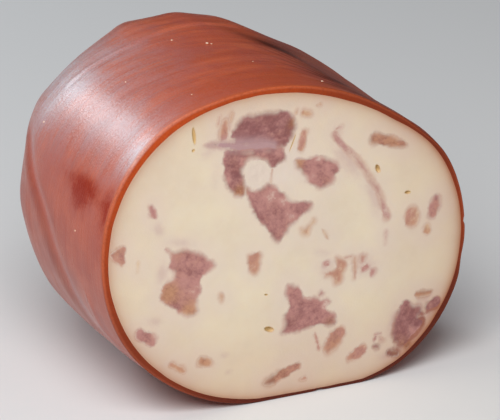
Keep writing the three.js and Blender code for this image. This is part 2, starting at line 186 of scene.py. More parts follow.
# Meat under a thin film of cheese, between pieces that touch: middle, length, width, turn and how
# far its colour spreads.
BRIDGES = [
    (-9, 27.6, 18, 1.7, -5, 1.2), (-9.5, 29.5, 16, 1.5, -7, 1.1), (38.6, -31.8, 9, 3.4, 42, 1.7),
    (32.7, -34.4, 3.6, 2.6, -50, 1), (32, -28.5, 9, 2.4, 78, 0.8), (40.9, -27, 3.8, 3, 40, 1.3),
    (44.6, -25.4, 4.5, 3, 58, 1.1),
]
# Whiter fat in the cheese: middle, radius and strength.
WHITE_ZONES = [(-8.3, 20.8, 5.5, 0.9), (-0.5, 19.8, 5.5, 0.8), (6.5, 19.5, 4, 0.5), (2, 24.5, 4, 0.4)]
# Brown zones, where the brine went deep: middle, radius and strength.
WARM_ZONES = [
    (-34, -7.5, 3.4, 0.9), (-28, -13.5, 2.8, 0.8), (1.6, 33, 1.5, 0.6), (-13.4, 16.8, 2, 0.9),
    (3.4, 22.2, 2.2, 0.8), (-31, 1.5, 3.5, 0.25), (12.5, -24.2, 1.8, 0.4),
    (35, -33.5, 2.5, 0.4), (5.6, 35, 2.5, 0.3), (43.8, 2, 3, 0.25),
    (41.6, -2.6, 2.5, 0.35), (40.8, -20.5, 3, 0.4), (43.7, -24, 2, 0.25), (31.7, -35.9, 3, 0.5),
    (-40.5, -18.6, 3, 0.25), (-31.4, -28.5, 3, 0.35), (-23.7, -28.3, 3, 0.4), (-1.1, -35.9, 6, 0.2),
    (29.7, 23.7, 6, 0.2),
]
# Places where fat shows between the fibres, or, below nought, where the meat is dark.
PALE_ZONES = [
    (9.5, 22, 1.2, 0.5), (-0.8, 12.2, 1.5, 0.6), (1, 7.5, 1.6, 0.4), (-4.2, 14.8, 2.2, 0.45),
    (-7.6, 11, 1, 0.3), (11.8, -18.8, 1.6, 0.6), (-16.5, 20.5, 1.2, 0.3), (12.5, 17.5, 1.3, 0.4),
    (-2.6, 25, 1.6, 0.25), (6.5, -15.5, 1.1, 0.4), (-27.5, -6.5, 2.2, 0.2), (7.2, 17.5, 1.2, 0.35),
    (37.7, -25, 0.55, -0.5), (38.9, -29, 0.65, -0.5), (-13.5, 21.5, 1.6, -0.25), (-8.5, 8.5, 1.5, -0.15),
    (5, -20.5, 4, -0.1), (0.6, -12.5, 1.5, 0.25), (38.5, -31, 1.8, 0.25), (34.5, -23.5, 1.6, 0.2),
    (-34.4, 4.4, 1.8, 0.3),
]
# The bluish skin of the muscle, which shows through beside its band: points and half widths.
SINEW_LINE = [
    (-24.5, 30.9, 0.9), (-21, 30.6, 1.5), (-17, 30, 1.9), (-12, 29.5, 1.8), (-7, 28.9, 1.7),
    (-3.2, 27.9, 1.2),
]
SINEW_SHARE = {"sinew_band": 0.85, "sinew_streak": 0.25}  # how much of a piece is sinew
SPREAD_EDGE = {"sinew_streak": 0.22}  # how far its colour spreads past the piece


def metres(points):
    """Points in millimetres from the middle of the cut, as metres in the frame."""
    return (np.asarray(points) + CUT_MIDDLE) * MILLIMETRE


def millimetres(mesh):
    """The vertices of a mesh, as millimetres from the middle of the cut."""
    flat = np.zeros(len(mesh.vertices) * 3)
    mesh.vertices.foreach_get("co", flat)
    return flat.reshape(-1, 3) / MILLIMETRE - CUT_MIDDLE


def ease(value, start, end):
    """0 before start, 1 after end, and a smooth step between them."""
    share = np.clip((value - start) / (end - start), 0, 1)
    return share * share * (3 - 2 * share)


def between(value, start, full, fading, end):
    """0 before start, 1 from full to fading, and 0 after end, with smooth steps."""
    return ease(value, start, full) * (1 - ease(value, fading, end))


def blended(lattice, across, up):
    """Heights on a lattice that repeats, blended by smooth steps from point to point."""
    column, row = np.floor(across).astype(int), np.floor(up).astype(int)
    right, above = ease(across - column, 0, 1), ease(up - row, 0, 1)
    columns, rows = lattice.shape
    corner = lambda i, k: lattice[(column + i) % columns, (row + k) % rows]
    low = corner(0, 0) * (1 - right) + corner(1, 0) * right
    high = corner(0, 1) * (1 - right) + corner(1, 1) * right
    return low * (1 - above) + high * above


LATTICE = 64


def soft_noise(x, z, size, seed):
    """Smooth noise from -1 to 1: random heights on a lattice of that size, blended."""
    lattice = np.random.default_rng(seed).uniform(-1, 1, (LATTICE, LATTICE))
    return blended(lattice, np.asarray(x) / size, np.asarray(z) / size)


def knife_cut(x, z):
    """How far behind the plane of the cut its surface lies: slow waves where the knife was pushed
    through, and low ridges along its stroke."""
    along, across = 0.94 * x + 0.34 * z, -0.34 * x + 0.94 * z
    waves = 0.07 * soft_noise(x, z, 17, 11) + 0.03 * soft_noise(x, z, 5.5, 12)
    ridges = 0.018 * soft_noise(along, across * 12, 26, 13)
    return 0.08 + waves + ridges


def on_plane(corners):
    """Pairs of x and z as complex points x + iz."""
    return np.array(corners) @ np.array([1, 1j])


def smooth_outline(points, spacing):
    """Closed centripetal Catmull-Rom curve through complex points, as evenly spaced ones that run
    anticlockwise."""
    before, start, end, after = [np.roll(points, shift)[:, None] for shift in (1, 0, -1, -2)]
    first, second, third = [np.sqrt(np.abs(b - a)) for a, b in ((before, start), (start, end), (end, after))]
    share = np.linspace(0, 1, 30, endpoint=False)[None, :]
    leave = ((start - before) / first - (end - before) / (first + second) + (end - start) / second) * second
    arrive = ((end - start) / second - (after - start) / (second + third) + (after - end) / third) * second
    curve = start + share * leave + share**2 * (3 * (end - start) - 2 * leave - arrive)
    curve = (curve + share**3 * (2 * (start - end) + leave + arrive)).ravel()
    steps = np.abs(np.roll(curve, -1) - curve)
    travelled = np.concatenate([[0], np.cumsum(steps)])
    count = max(16, round(travelled[-1] / spacing))
    wanted = np.linspace(0, travelled[-1], count, endpoint=False)
    closed = np.append(curve, curve[0])
    even = np.interp(wanted, travelled, closed.real) + 1j * np.interp(wanted, travelled, closed.imag)
    return even if signed_area(even) > 0 else even[::-1]


def signed_area(outline):
    """Area inside a closed outline, positive where it runs anticlockwise."""
    return 0.5 * np.sum(outline.real * np.roll(outline.imag, -1) - np.roll(outline.real, -1) * outline.imag)


def outwards(outline):
    """Unit directions out of an anticlockwise outline, at each of its points."""
    tangent = np.roll(outline, -1) - np.roll(outline, 1)
    return -1j * tangent / np.abs(tangent)


def ragged(outline, amount):
    """The outline with torn edges: each point moves out or in by noise of two sizes."""
    tear = soft_noise(outline.real, outline.imag, 1.7, 21)
    tear = tear + 0.6 * soft_noise(outline.real, outline.imag, 0.8, 22)
    return outline + outwards(outline) * amount * tear


def softened(outline, spread):
    """The outline with its corners drawn in: each turn of its Fourier sum is damped by a bell
    curve, as if every point were averaged with its neighbours over that spread."""
    length = np.sum(np.abs(np.roll(outline, -1) - outline))
    turns = np.fft.fftfreq(len(outline), 1 / len(outline))
    return np.fft.ifft(np.fft.fft(outline) * np.exp(-0.5 * (FULL_TURN * turns * spread / length) ** 2))


def chunk_corners(x, z, long, wide, turn, taper):
    """Corners of a small boxy piece with rounded ends, one of them wider than the other."""
    angles = np.linspace(0, FULL_TURN, CHUNK_CORNERS, endpoint=False)
    soften = lambda value: np.sign(value) * np.abs(value) ** CHUNK_SQUARENESS
    along = soften(np.cos(angles))
    side = soften(np.sin(angles)) * (1 + taper * along)
    return complex(x, z) + (along * long + 1j * side * wide) / 2 * np.exp(1j * math.radians(turn))


def streak_corners(line, width):
    """Corners of a strip of even width along a line: down one side of it and back up the other."""
    points = on_plane(line)
    tangent = np.gradient(points)
    across = 1j * tangent / np.abs(tangent) * width / 2
    return np.concatenate([points + across, (points - across)[::-1]])


def placed(name, data):
    """An object of the scene, with its mesh, camera or lamp."""
    thing = bpy.data.objects.new(name, data)
    bpy.context.scene.collection.objects.link(thing)
    return thing


def mesh_of(name, points, faces):
    """A piece from points in millimetres and faces."""
    mesh = bpy.data.meshes.new(name)
    mesh.from_pydata(metres(points).tolist(), [], faces)
    return placed(name, mesh)


def grid_faces(columns, rows):
    """The faces of a grid of points, and the points of its border in order."""
    index = np.arange(rows * columns).reshape(rows, columns)
    quads = np.stack([index[:-1, :-1], index[:-1, 1:], index[1:, 1:], index[1:, :-1]], -1).reshape(-1, 4)
    return quads, np.concatenate([index[0, :-1], index[:-1, -1], index[-1, :0:-1], index[:0:-1, 0]])


def between_rings(index):
    """The faces between closed rings of points, one ring in each row."""
    beside = np.roll(index, -1, 1)
    return np.stack([index[:-1], index[1:], beside[1:], beside[:-1]], -1).reshape(-1, 4)


def loft(name, rings):
    """A closed body through rings of equally many points, front ring first, a flat face at each end."""
    index = np.arange(len(rings) * len(rings[0])).reshape(len(rings), -1)
    faces = between_rings(index).tolist() + [index[0].tolist(), index[-1, ::-1].tolist()]
    return mesh_of(name, np.concatenate(rings), faces)


def ring_of(outline, y):
    """An outline as points at one depth."""
    return np.stack([outline.real, np.full(len(outline), y), outline.imag], 1)


def lump(name, outline, grow):
    """A lump with the given outline on the cut, with a softer back, larger all round by grow."""
    depth = DEPTH_SHARE * math.sqrt(signed_area(outline))
    front = outline + outwards(outline) * grow
    back = softened(outline, BACK_SPREAD)
    back = back + outwards(back) * grow
    return loft(name, [
        ring_of(front, -KNIFE_PASS),
        ring_of(front, depth * STRAIGHT_SHARE),
        ring_of(back, depth + grow),
    ])


def carve(piece, tool, operation):
    """Joins or cuts a piece with a tool, which is then thrown away."""
    cut = piece.modifiers.new("cut", "BOOLEAN")
    cut.object = tool
    cut.operation = operation
    cut.solver = "MANIFOLD"
    evaluated = piece.evaluated_get(bpy.context.evaluated_depsgraph_get())
    carved = bpy.data.meshes.new_from_object(evaluated)
    piece.modifiers.clear()
    old, piece.data = piece.data, carved
    bpy.data.meshes.remove(old)
    bpy.data.objects.remove(tool)


def shaded(piece, crease=38):
    """Smooth shading, split where faces meet at more than the crease in degrees."""
    mesh = piece.data
    mesh.shade_smooth()
    mesh.set_sharp_from_angle(angle=math.radians(crease))


def note(mesh, name, values):
    """Keeps one number for each vertex, for the finish to read."""
    attribute = mesh.attributes.new(name, "FLOAT", "POINT")
    attribute.data.foreach_set("value", np.asarray(values, dtype=np.float32))


def distance_to(outline, x, z):
    """Distance from each place to a closed outline: the least over its straight stretches."""
    start, step = outline[None, :], (np.roll(outline, -1) - outline)[None, :]
    place = (x + 1j * z)[:, None] - start
    share = np.clip((place * step.conj()).real / np.abs(step) ** 2, 0, 1)
    return np.abs(place - share * step).min(axis=1)


def inside(outline, x, z):
    """True for each place inside a closed outline: a line from it to the right crosses an odd
    number of stretches."""
    end = np.roll(outline, -1)
    above = outline.imag[None, :] > z[:, None]
    crosses = above != (end.imag[None, :] > z[:, None])
    rise = np.where(end.imag == outline.imag, 1, end.imag - outline.imag)
    at = outline.real + (z[:, None] - outline.imag) / rise * (end.real - outline.real)
    return (np.sum(crosses & (x[:, None] < at), axis=1) % 2).astype(bool)


def blobs(zones, x, z):
    """Sum of round soft zones, each a bell curve about its middle."""
    total = np.zeros_like(x)
    for middle_x, middle_z, radius, strength in zones:
        total += strength * np.exp(-((x - middle_x) ** 2 + (z - middle_z) ** 2) / radius**2)
    return total


def slab(name, outline, relief, depth):
    """A block a little larger than the outline. Its front is a grid of x and z with y from relief,
    and its back is the same grid at that depth."""
    wide, high = [
        np.arange(part.min() - SLAB_MARGIN, part.max() + SLAB_MARGIN, HAM_GRAIN)
        for part in (outline.real, outline.imag)
    ]
    x, z = [part.ravel() for part in np.meshgrid(wide, high)]
    front = np.stack([x, relief(x, z), z], 1)
    back = np.stack([x, np.full(len(x), depth), z], 1)
    quads, edge = grid_faces(len(wide), len(high))
    sides = between_rings(np.stack([edge, edge + len(x)]))
    faces = np.concatenate([quads, (quads + len(x))[:, ::-1], sides])
    return mesh_of(name, np.concatenate([front, back]), faces.tolist())


def piece_relief(outline):
    """The surface of a piece on the cut: proud at its edge, then rough with fibres."""
    def relief(x, z):
        deep = np.where(inside(outline, x, z), distance_to(outline, x, z), 0)
        rough = 0.07 * soft_noise(x, z, 2.6, 31) + 0.05 * soft_noise(x, z, 0.9, 32)
        return knife_cut(x, z) - HAM_PROUD + ease(deep, 0, 1.4) * (0.04 + rough)
    return relief


def torn_section(name, finish, pale, brown, turn, corners, tear=LUMP_TEAR):
    """What the knife shows of one piece, with its torn outline."""
    return Section(name, finish, pale, brown, turn, ragged(smooth_outline(corners, OUTLINE_GRAIN), tear))


def along_fibres(section, x, y, z):
    """Places turned to run along a section's fibres and drawn out along them."""
    along = (x + 1j * z) * np.exp(-1j * math.radians(section.turn))
    return np.stack([along.real / 2.6, y, along.imag / 0.8], 1)


def oval_share(middle_x, middle_z, long, wide, turn, x, z):
    """How far each place of the cut lies from the middle of an oval, 1 at its edge."""
    across = (x - middle_x + 1j * (z - middle_z)) * np.exp(-1j * math.radians(turn))
    return np.hypot(across.real / (long / 2), across.imag / (wide / 2))


def bridged(x, z):
    """How far the colour of the meat spreads where pieces touch, in millimetres."""
    return sum(spread * np.exp(-oval_share(*oval, x, z) ** 2) for *oval, spread in BRIDGES)


def sinew_share(x, z):
    """How much of the bluish skin shows: a bell across its line, whose width changes along it."""
    line_x, line_z, half = np.array(SINEW_LINE).T
    ends = between(x, line_x[0] - 1.5, line_x[0] + 2.5, line_x[-1] - 0.5, line_x[-1] + 1.2)
    return ends * np.exp(-(((z - np.interp(x, line_x, line_z)) / np.interp(x, line_x, half)) ** 2))


def note_cut(mesh, deep, pale, brown, sinew, fat, fibres):
    """Keeps for each vertex what the colours of the cut are made from: how deep inside a piece it
    lies, below nought outside one, and what that piece is like."""
    for name, values in (("deep", deep), ("pale", pale), ("brown", brown), ("sinew", sinew), ("fat", fat)):
        note(mesh, name, values)
    fibre = mesh.attributes.new("fibre", "FLOAT_VECTOR", "POINT")
    fibre.data.foreach_set("vector", fibres.astype(np.float32).ravel())


def plug(tree, made, sockets):
    """Sets sockets of a node by name, each to a value or to another's output."""
    for key, value in sockets.items():
        if isinstance(value, bpy.types.NodeSocket):
            tree.links.new(value, made.inputs[key])
        else:
            made.inputs[key].default_value = value


def node(tree, kind, sockets=None, **settings):
    """One node of a finish, with its settings and its sockets."""
    made = tree.nodes.new(kind)
    for key, value in settings.items():
        setattr(made, key, value)
    plug(tree, made, sockets or {})
    return made


def mixed(tree, share, first, second):
    """A colour mixed from two by a share of 0 to 1."""
    return node(tree, "ShaderNodeMix", {0: share, 6: first, 7: second}, data_type="RGBA").outputs[2]


def worked(tree, operation, *values):
    """A number worked out from one, two or three others."""
    return node(tree, "ShaderNodeMath", dict(enumerate(values)), operation=operation).outputs[0]


def ranged(tree, value, low, high, to_low=0.0, to_high=1.0):
    """A number brought from one range to another, with a smooth step, and kept inside it."""
    names = {"Value": value, "From Min": low, "From Max": high, "To Min": to_low, "To Max": to_high}
    return node(tree, "ShaderNodeMapRange", names, interpolation_type="SMOOTHSTEP").outputs[0]


def summed(tree, *terms):
    """The sum of numbers, each times its weight."""
    total = worked(tree, "MULTIPLY", *terms[0])
    for value, weight in terms[1:]:
        total = worked(tree, "MULTIPLY_ADD", value, weight, total)
    return total


def noted(tree, name):
    """The number kept for each vertex under that name."""
    return node(tree, "ShaderNodeAttribute", attribute_name=name).outputs["Fac"]


def paint(*screen):
    """A colour as a screen shows it, each part 0 to 255, as the linear values a finish takes."""
    value = np.array(screen) / 255
    linear = np.where(value <= 0.04045, value / 12.92, ((value + 0.055) / 1.055) ** 2.4)
    return (*linear.tolist(), 1.0)


def layered(tree, base, *coats):
    """A base colour with coats over it, each a share of 0 to 1 and a paint."""
    colour = paint(*base) if isinstance(base, tuple) else base
    for share, coat in coats:
        colour = mixed(tree, share, colour, paint(*coat))
    return colour


def object_millimetres(tree, stretch=(1, 1, 1), turn=(0, 0, 0)):
    """Places on the object in millimetres, turned and then divided by the stretch."""
    place = node(tree, "ShaderNodeTexCoord").outputs["Object"]
    turned = node(tree, "ShaderNodeMapping", {"Vector": place, "Rotation": turn}).outputs[0]
    scale = tuple(1 / MILLIMETRE / part for part in stretch)
    return node(tree, "ShaderNodeMapping", {"Vector": turned, "Scale": scale}).outputs[0]


def speckle(tree, place, size, detail=3.0, roughness=0.55):
    """Noise of about that size in millimetres, from 0 to 1."""
    names = {"Vector": place, "Scale": 1 / size, "Detail": detail, "Roughness": roughness}
    return node(tree, "ShaderNodeTexNoise", names).outputs["Fac"]


def new_finish(name):
    """An empty material with its shader, which is returned with the tree."""
    material = bpy.data.materials.new(name)
    material.use_nodes = True
    shader = material.node_tree.nodes["Principled BSDF"]
    return material, material.node_tree, shader


def bumped(tree, shader, height, distance):
    """Fine relief of a finish, as deep as the distance in millimetres."""
    names = {"Height": height, "Distance": distance * MILLIMETRE, "Strength": 1.0}
    plug(tree, shader, {"Normal": node(tree, "ShaderNodeBump", names).outputs[0]})


def cut_colours(tree):
    """The colours of the whole cut, which the ham and the cheese share, so that each melts into the
    other at its edge. Lean is darker or paler by its fibres and mottles, and turns tan where it is
    brown; the cheese is ivory with slow patches, and stained by the ham beside and below it. Returns
    the colour, the fibres and the finest mottles."""
    place = object_millimetres(tree)
    fibres = node(tree, "ShaderNodeAttribute", attribute_name="fibre").outputs["Vector"]
    thread = speckle(tree, fibres, 1.0, 2.0, 0.5)
    mottle = speckle(tree, place, 2.6, 3.0, 0.55)
    fine = speckle(tree, place, 0.6, 3.0, 0.65)
    patch = speckle(tree, place, 5.5, 2.0)
    slow = speckle(tree, place, 15, 3.0)
    uneven = summed(tree, (thread, 0.4), (mottle, 1.1), (fine, 0.55), (1.0, -1.02))
    paleness = summed(tree, (noted(tree, "pale"), 1.0), (uneven, 1.0))
    paler, palest = ranged(tree, paleness, -0.25, 0.45), ranged(tree, paleness, 0.4, 1.0)
    lean = layered(tree, (136, 82, 81), (paler, (184, 130, 122)), (palest, (216, 190, 174)))
    tan = layered(tree, (144, 88, 62), (paler, (190, 138, 106)), (palest, (214, 184, 150)))
    brown = summed(tree, (noted(tree, "brown"), 1.0), (patch, 0.9), (fine, 0.5), (1.0, -0.7))
    meat = mixed(tree, ranged(tree, brown, 0.0, 1.0), lean, tan)
    sinew, deep = noted(tree, "sinew"), noted(tree, "deep")
    meat = layered(tree, meat, (sinew, (178, 142, 143)), (noted(tree, "fat"), (224, 208, 192)))
    near = ranged(tree, summed(tree, (deep, 1.0), (slow, 5.0)), -4.5, 2.5, 0.0, 0.5)
    stain = summed(tree, (noted(tree, "stain"), 1.0), (mottle, 0.6), (thread, 0.3), (1.0, -0.45))
    cheese = layered(
        tree, (228, 212, 185),
        (ranged(tree, slow, 0.35, 0.68), (222, 205, 180)),
        (ranged(tree, mottle, 0.38, 0.7, 0.0, 0.3), (229, 216, 194)),
        (noted(tree, "white"), (226, 211, 195)),
        (near, (222, 203, 190)),
        (ranged(tree, stain, 0.0, 1.0, 0.0, 0.65), (199, 168, 161)),
    )
    torn = summed(tree, (thread, 0.4), (mottle, 1.3), (fine, 1.0), (1.0, -1.38))
    blur = ranged(tree, patch, 0.36, 0.64, 0.45, 1.3)
    meaty = worked(tree, "DIVIDE", summed(tree, (deep, 1.0), (torn, 0.75)), blur)
    meaty = ranged(tree, meaty, -1.0, 1.0)
    veil = ranged(tree, summed(tree, (sinew, 1.0), (torn, 0.35)), 0.15, 0.95, 0.0, 0.75)
    share = worked(tree, "MAXIMUM", meaty, veil)
    return mixed(tree, share, cheese, meat), thread, fine


def ham_finish(name, gloss):
    """Cured meat on the cut: a moist surface, glossier along the fibres."""
    material, tree, shader = new_finish(name)
    colour, thread, fine = cut_colours(tree)
    rough = ranged(tree, thread, 0.3, 0.7, gloss - 0.08, gloss + 0.12)
    plug(tree, shader, {"Base Color": colour, "Roughness": rough})
    bumped(tree, shader, summed(tree, (thread, 0.8), (fine, 0.7)), 0.05)
    return material


def dress(piece, material):
    """Gives a piece its one finish."""
    piece.data.materials.clear()
    piece.data.materials.append(material)


def join(pieces, name):
    """Makes many small bodies one piece of the scene, the first of them."""
    with bpy.context.temp_override(active_object=pieces[0], selected_editable_objects=pieces):
        bpy.ops.object.join()
    pieces[0].name = name


finishes = {
    "ham": ham_finish("cured ham", 0.42),
    "ham_pale": ham_finish("pale ham", 0.46),
    "sinew": ham_finish("sinew", 0.36),
    "fat": ham_finish("fat", 0.4),
}
sections = [
    torn_section(name, finish, pale, PIECE_BROWN[finish], turn, on_plane(corners))
    for name, finish, pale, turn, corners in LUMPS
]
for name, finish, x, z, long, wide, turn, taper, pale in CHUNKS:
    corners = chunk_corners(x, z, long, wide, turn, taper)
    sections.append(torn_section(name, finish, pale, PIECE_BROWN[finish], turn, corners))
streak = streak_corners(STREAK_LINE, STREAK_WIDTH)
sections.append(torn_section("sinew_streak", "sinew", 0.6, 0.4, -50, streak, STREAK_TEAR))
for x, z, long, wide, turn, pale, brown in BITS:
    corners = chunk_corners(x, z, long, wide, turn, BIT_TAPER)
    sections.append(torn_section("bit", "ham_pale", pale, brown, turn, corners, BIT_TEAR))
bits = []
for section in sections:
    outline = section.outline
    depth = DEPTH_SHARE * math.sqrt(signed_area(outline))
    piece = slab(section.name + "_section", outline, piece_relief(outline), depth + KNIFE_PASS)
    carve(piece, lump("knife", outline, 0.0), "INTERSECT")
    shaded(piece)
    x, y, z = millimetres(piece.data).T
    deep = distance_to(outline, x, z) + SPREAD_EDGE.get(section.name, 0) + bridged(x, z)
    pale = section.pale + blobs(PALE_ZONES, x, z)
    brown = np.clip(section.brown + blobs(WARM_ZONES, x, z), 0, 1)
    sinew = np.maximum(SINEW_SHARE.get(section.name, 0), SINEW_STRENGTH * sinew_share(x, z))
    fat = np.full(len(x), 0.9 * (section.finish == "fat"))
    note_cut(piece.data, deep, pale, brown, sinew, fat, along_fibres(section, x, y, z))
    dress(piece, finishes[section.finish])
    if section.name == "bit":
        bits.append(piece)
        continue
    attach(piece, BODY)
    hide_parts(section.name)

# The bits are one piece of the scene, because they are crumbs of the same ham.
join(bits, "ham_bits")
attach(bits[0], BODY)

# ---------------------------------------------------------------------------------------------
# The paste. Processed cheese, melted and filled into the casing, so it is one close, creamy mass.
# It is moulded round the ham: each piece leaves a pocket in it, and the fat and brine of the ham
# tint it. A few air holes show on the cut.

LENGTH = 98.0  # from the cut to the tip of the rounded end
# Middle of the cut to the skin, at equal turns from +x through +z.
SKIN_RADII = np.array([
    52.9, 49.9, 44.4, 42.6, 43.2, 46, 51.1, 53.1, 52.5, 50.7, 47.3, 44.6, 43, 46.9, 52.5, 54.4])
STRAIGHT_LENGTH = 48.5  # the log keeps its full section up to here
SIDE_RISE, SIDE_ROOT = 2.1, 1.37  # how the two sides close to the tip
TOP_RISE, TOP_ROOT = 3.2, 1.5  # how top and underside close to the tip
DRIFT, DRIFT_START, DRIFT_END = 3.2, 10, 90  # the log bends to +x towards its tip
LIFT, LIFT_START = 3.1, 35  # and its tip rises a little
# Soft pleats of the gathered casing, as the turn of each crest in degrees.
PLEAT_CRESTS = np.array([12, 42, 72, 90, 113, 154, 180, 208, 236, 264, 292, 320, 346, 372])
PLEAT_DEPTH, PLEAT_START, PLEAT_END = 1.1, 39, 80
DIMPLE_DEPTH, DIMPLE_RADIUS = 1.6, 5  # where the casing was tied
# Thickness of the smoked skin on the cut, at equal turns from +x through +z.
SKIN_THICKNESS = np.array([
    1.25, 1.75, 1.85, 2.15, 1.95, 1.8, 2.75, 2.3, 1.85, 2.3, 1.65, 1.5, 1, 0.95, 1.45, 1.8])
FACE_GRAIN = 284  # steps of the grid across the cut
PASTE_UNDER_SKIN = 0.25  # how far the paste reaches under the edge of the skin
POCKET_SLACK = -0.06  # a pocket is this much tighter than its piece, so that no gap shows
CUT_ZONE = 2.5  # the paste is coloured as the cut this far behind it
REACH = 6.0  # how far the ham tints the cheese
SIDE_RINGS = 14
HOLE_SIDES = 28

# Air holes and a crack: middle, length and width on the cut, turn in degrees, and depth.
HOLES = [
    (-26.5, 33.9, 4.6, 0.95, -84, 0.5), (-26.7, 30, 0.9, 0.7, 0, 0.3), (26.7, 16.6, 2.5, 1.25, -70, 0.9),
    (35.7, 8.6, 1.8, 0.9, -8, 0.6), (-5, -22.6, 2.9, 1.4, -20, 0.8), (-5.9, -12.8, 0.95, 0.5, -15, 0.3),
    (1.7, 27.6, 4.8, 0.3, 67, 0.2),
]


def round_the_log(values, turn):
    """A smooth closed curve through values given at equal turns, by the Catmull-Rom formula."""
    count = len(values)
    place = np.mod(turn / FULL_TURN, 1) * count
    first = np.floor(place).astype(int)
    t = place - first
    before, start, end, after = [values[(first + k) % count] for k in (-1, 0, 1, 2)]
    bend = 2 * before - 5 * start + 4 * end - after
    twist = 3 * (start - end) + after - before
    return start + 0.5 * t * (end - before + t * (bend + t * twist))


def pleat_share(turn):
    """Radius share of the soft polygon whose corners are the pleats' crests: 1 at a crest."""
    degrees = np.degrees(turn) % 360
    lap = np.where(degrees < PLEAT_CRESTS[0], degrees + 360, degrees)
    last = np.clip(np.searchsorted(PLEAT_CRESTS, lap, side="right"), 1, len(PLEAT_CRESTS) - 1)
    middle = (PLEAT_CRESTS[last] + PLEAT_CRESTS[last - 1]) / 2
    half = (PLEAT_CRESTS[last] - PLEAT_CRESTS[last - 1]) / 2
    return np.cos(np.radians(half)) / np.cos(np.radians(lap - middle))


def soft_pleats(turn):
    """The pleats with their crests rounded: the mean over a few degrees to either side."""
    return sum(pleat_share(turn + math.radians(off)) for off in (-3, -1.5, 0, 1.5, 3)) / 5


def skin(turn, y, inset=0.0):
    """The skin at a turn round the log and a distance behind the cut, drawn in by an inset. The
    section keeps its size, then top and sides close by their own powers of the way to the tip."""
    share = np.clip((y - STRAIGHT_LENGTH) / (LENGTH - STRAIGHT_LENGTH), 0, 1)
    pleats = PLEAT_DEPTH * ease(y, PLEAT_START, PLEAT_END)
    radius = (round_the_log(SKIN_RADII, turn) - inset) * (1 + pleats * (soft_pleats(turn) - 1))
    across = (1 - share**SIDE_RISE) ** (1 / SIDE_ROOT) * radius * np.cos(turn)
    up = (1 - share**TOP_RISE) ** (1 / TOP_ROOT) * radius * np.sin(turn)
    x = across + DRIFT * ease(y, DRIFT_START, DRIFT_END)
    z = np.maximum(up + LIFT * ease(y, LIFT_START, LENGTH), inset - CENTRE_HEIGHT)
    dimple = DIMPLE_DEPTH * np.exp(-(across / DIMPLE_RADIUS) ** 2 - (up / DIMPLE_RADIUS) ** 2)
    return np.stack([x, y * (LENGTH - inset) / LENGTH - dimple, z], -1)


def skin_thickness(turn):
    """Thickness of the skin on the cut, with small waves along its inner edge."""
    waves = 0.09 * soft_noise(np.cos(turn) * 50, np.sin(turn) * 50, 4.3, 41)
    return round_the_log(SKIN_THICKNESS, turn) + waves


def paste_edge(turn, under=0.0):
    """Where the paste meets the skin on the cut, or that far under the skin, as complex points."""
    edge = skin(turn, np.zeros_like(turn), skin_thickness(turn) - under)
    return edge[..., 0] + 1j * edge[..., 2]


def face_grid(steps):
    """The concentric map of a square grid onto a disc: squares about the middle become circles.
    Returns the share of the radius and the turn of each point."""
    line = np.linspace(-1, 1, steps + 1)
    a, b = np.meshgrid(line, line)
    flat = np.abs(a) >= np.abs(b)
    safe = lambda value: np.where(value == 0, 1, value)
    radius = np.where(flat, a, b)
    turn = np.where(flat, math.pi / 4 * b / safe(a), math.pi / 2 - math.pi / 4 * a / safe(b))
    turn = np.where(radius < 0, turn + math.pi, turn)
    return np.abs(radius), np.mod(turn, FULL_TURN)


def to_tip(ring, tip):
    """The faces from a closed ring of points to one point."""
    return np.stack([ring, np.full(len(ring), tip), np.roll(ring, -1)], 1).tolist()


def paste_body():
    """The paste without its pockets: the cut on the concentric grid, and rings of the log's form
    behind it, inside the skin, up to one point at the tip."""
    share, turn = face_grid(FACE_GRAIN)
    place = share * paste_edge(turn, PASTE_UNDER_SKIN)
    x, z = place.real, place.imag
    under = ease(np.abs(place) - np.abs(paste_edge(turn)), -0.12, 0.1)
    face = np.stack([x, knife_cut(x, z) + 0.1 * under, z], -1).reshape(-1, 3)
    quads, edge = grid_faces(FACE_GRAIN + 1, FACE_GRAIN + 1)
    around = turn.ravel()[edge]
    count = len(edge)
    depths = LENGTH * (1 - (1 - np.arange(1, SIDE_RINGS + 1) / (SIDE_RINGS + 1)) ** 1.6)
    inset = skin_thickness(around) - PASTE_UNDER_SKIN
    rings = [skin(around, np.full(count, y), inset) for y in depths]
    tip = skin(np.array([0.0]), np.array([LENGTH]), 1.0)
    behind = len(face) + np.arange(SIDE_RINGS * count).reshape(SIDE_RINGS, count)
    sides = between_rings(np.concatenate([edge[None, :], behind]))
    faces = np.concatenate([quads, sides]).tolist() + to_tip(behind[-1], behind[-1, -1] + 1)
    return mesh_of("paste", np.concatenate([face, *rings, tip]), faces)


def hole(x, z, long, wide, turn, depth):
    """An air hole: an oval on the cut that narrows to its floor."""
    oval = np.exp(1j * np.linspace(0, FULL_TURN, HOLE_SIDES, endpoint=False))
    oval = (oval.real * long + 1j * oval.imag * wide) / 2 * np.exp(1j * math.radians(turn))
    rings = [(-1.0, 1.0), (0.1, 1.0), (0.55, 0.8), (0.85, 0.5), (1.0, 0.2)]
    middle = complex(x, z)
    return loft("hole", [ring_of(middle + oval * size, depth * deep + 0.08) for deep, size in rings])


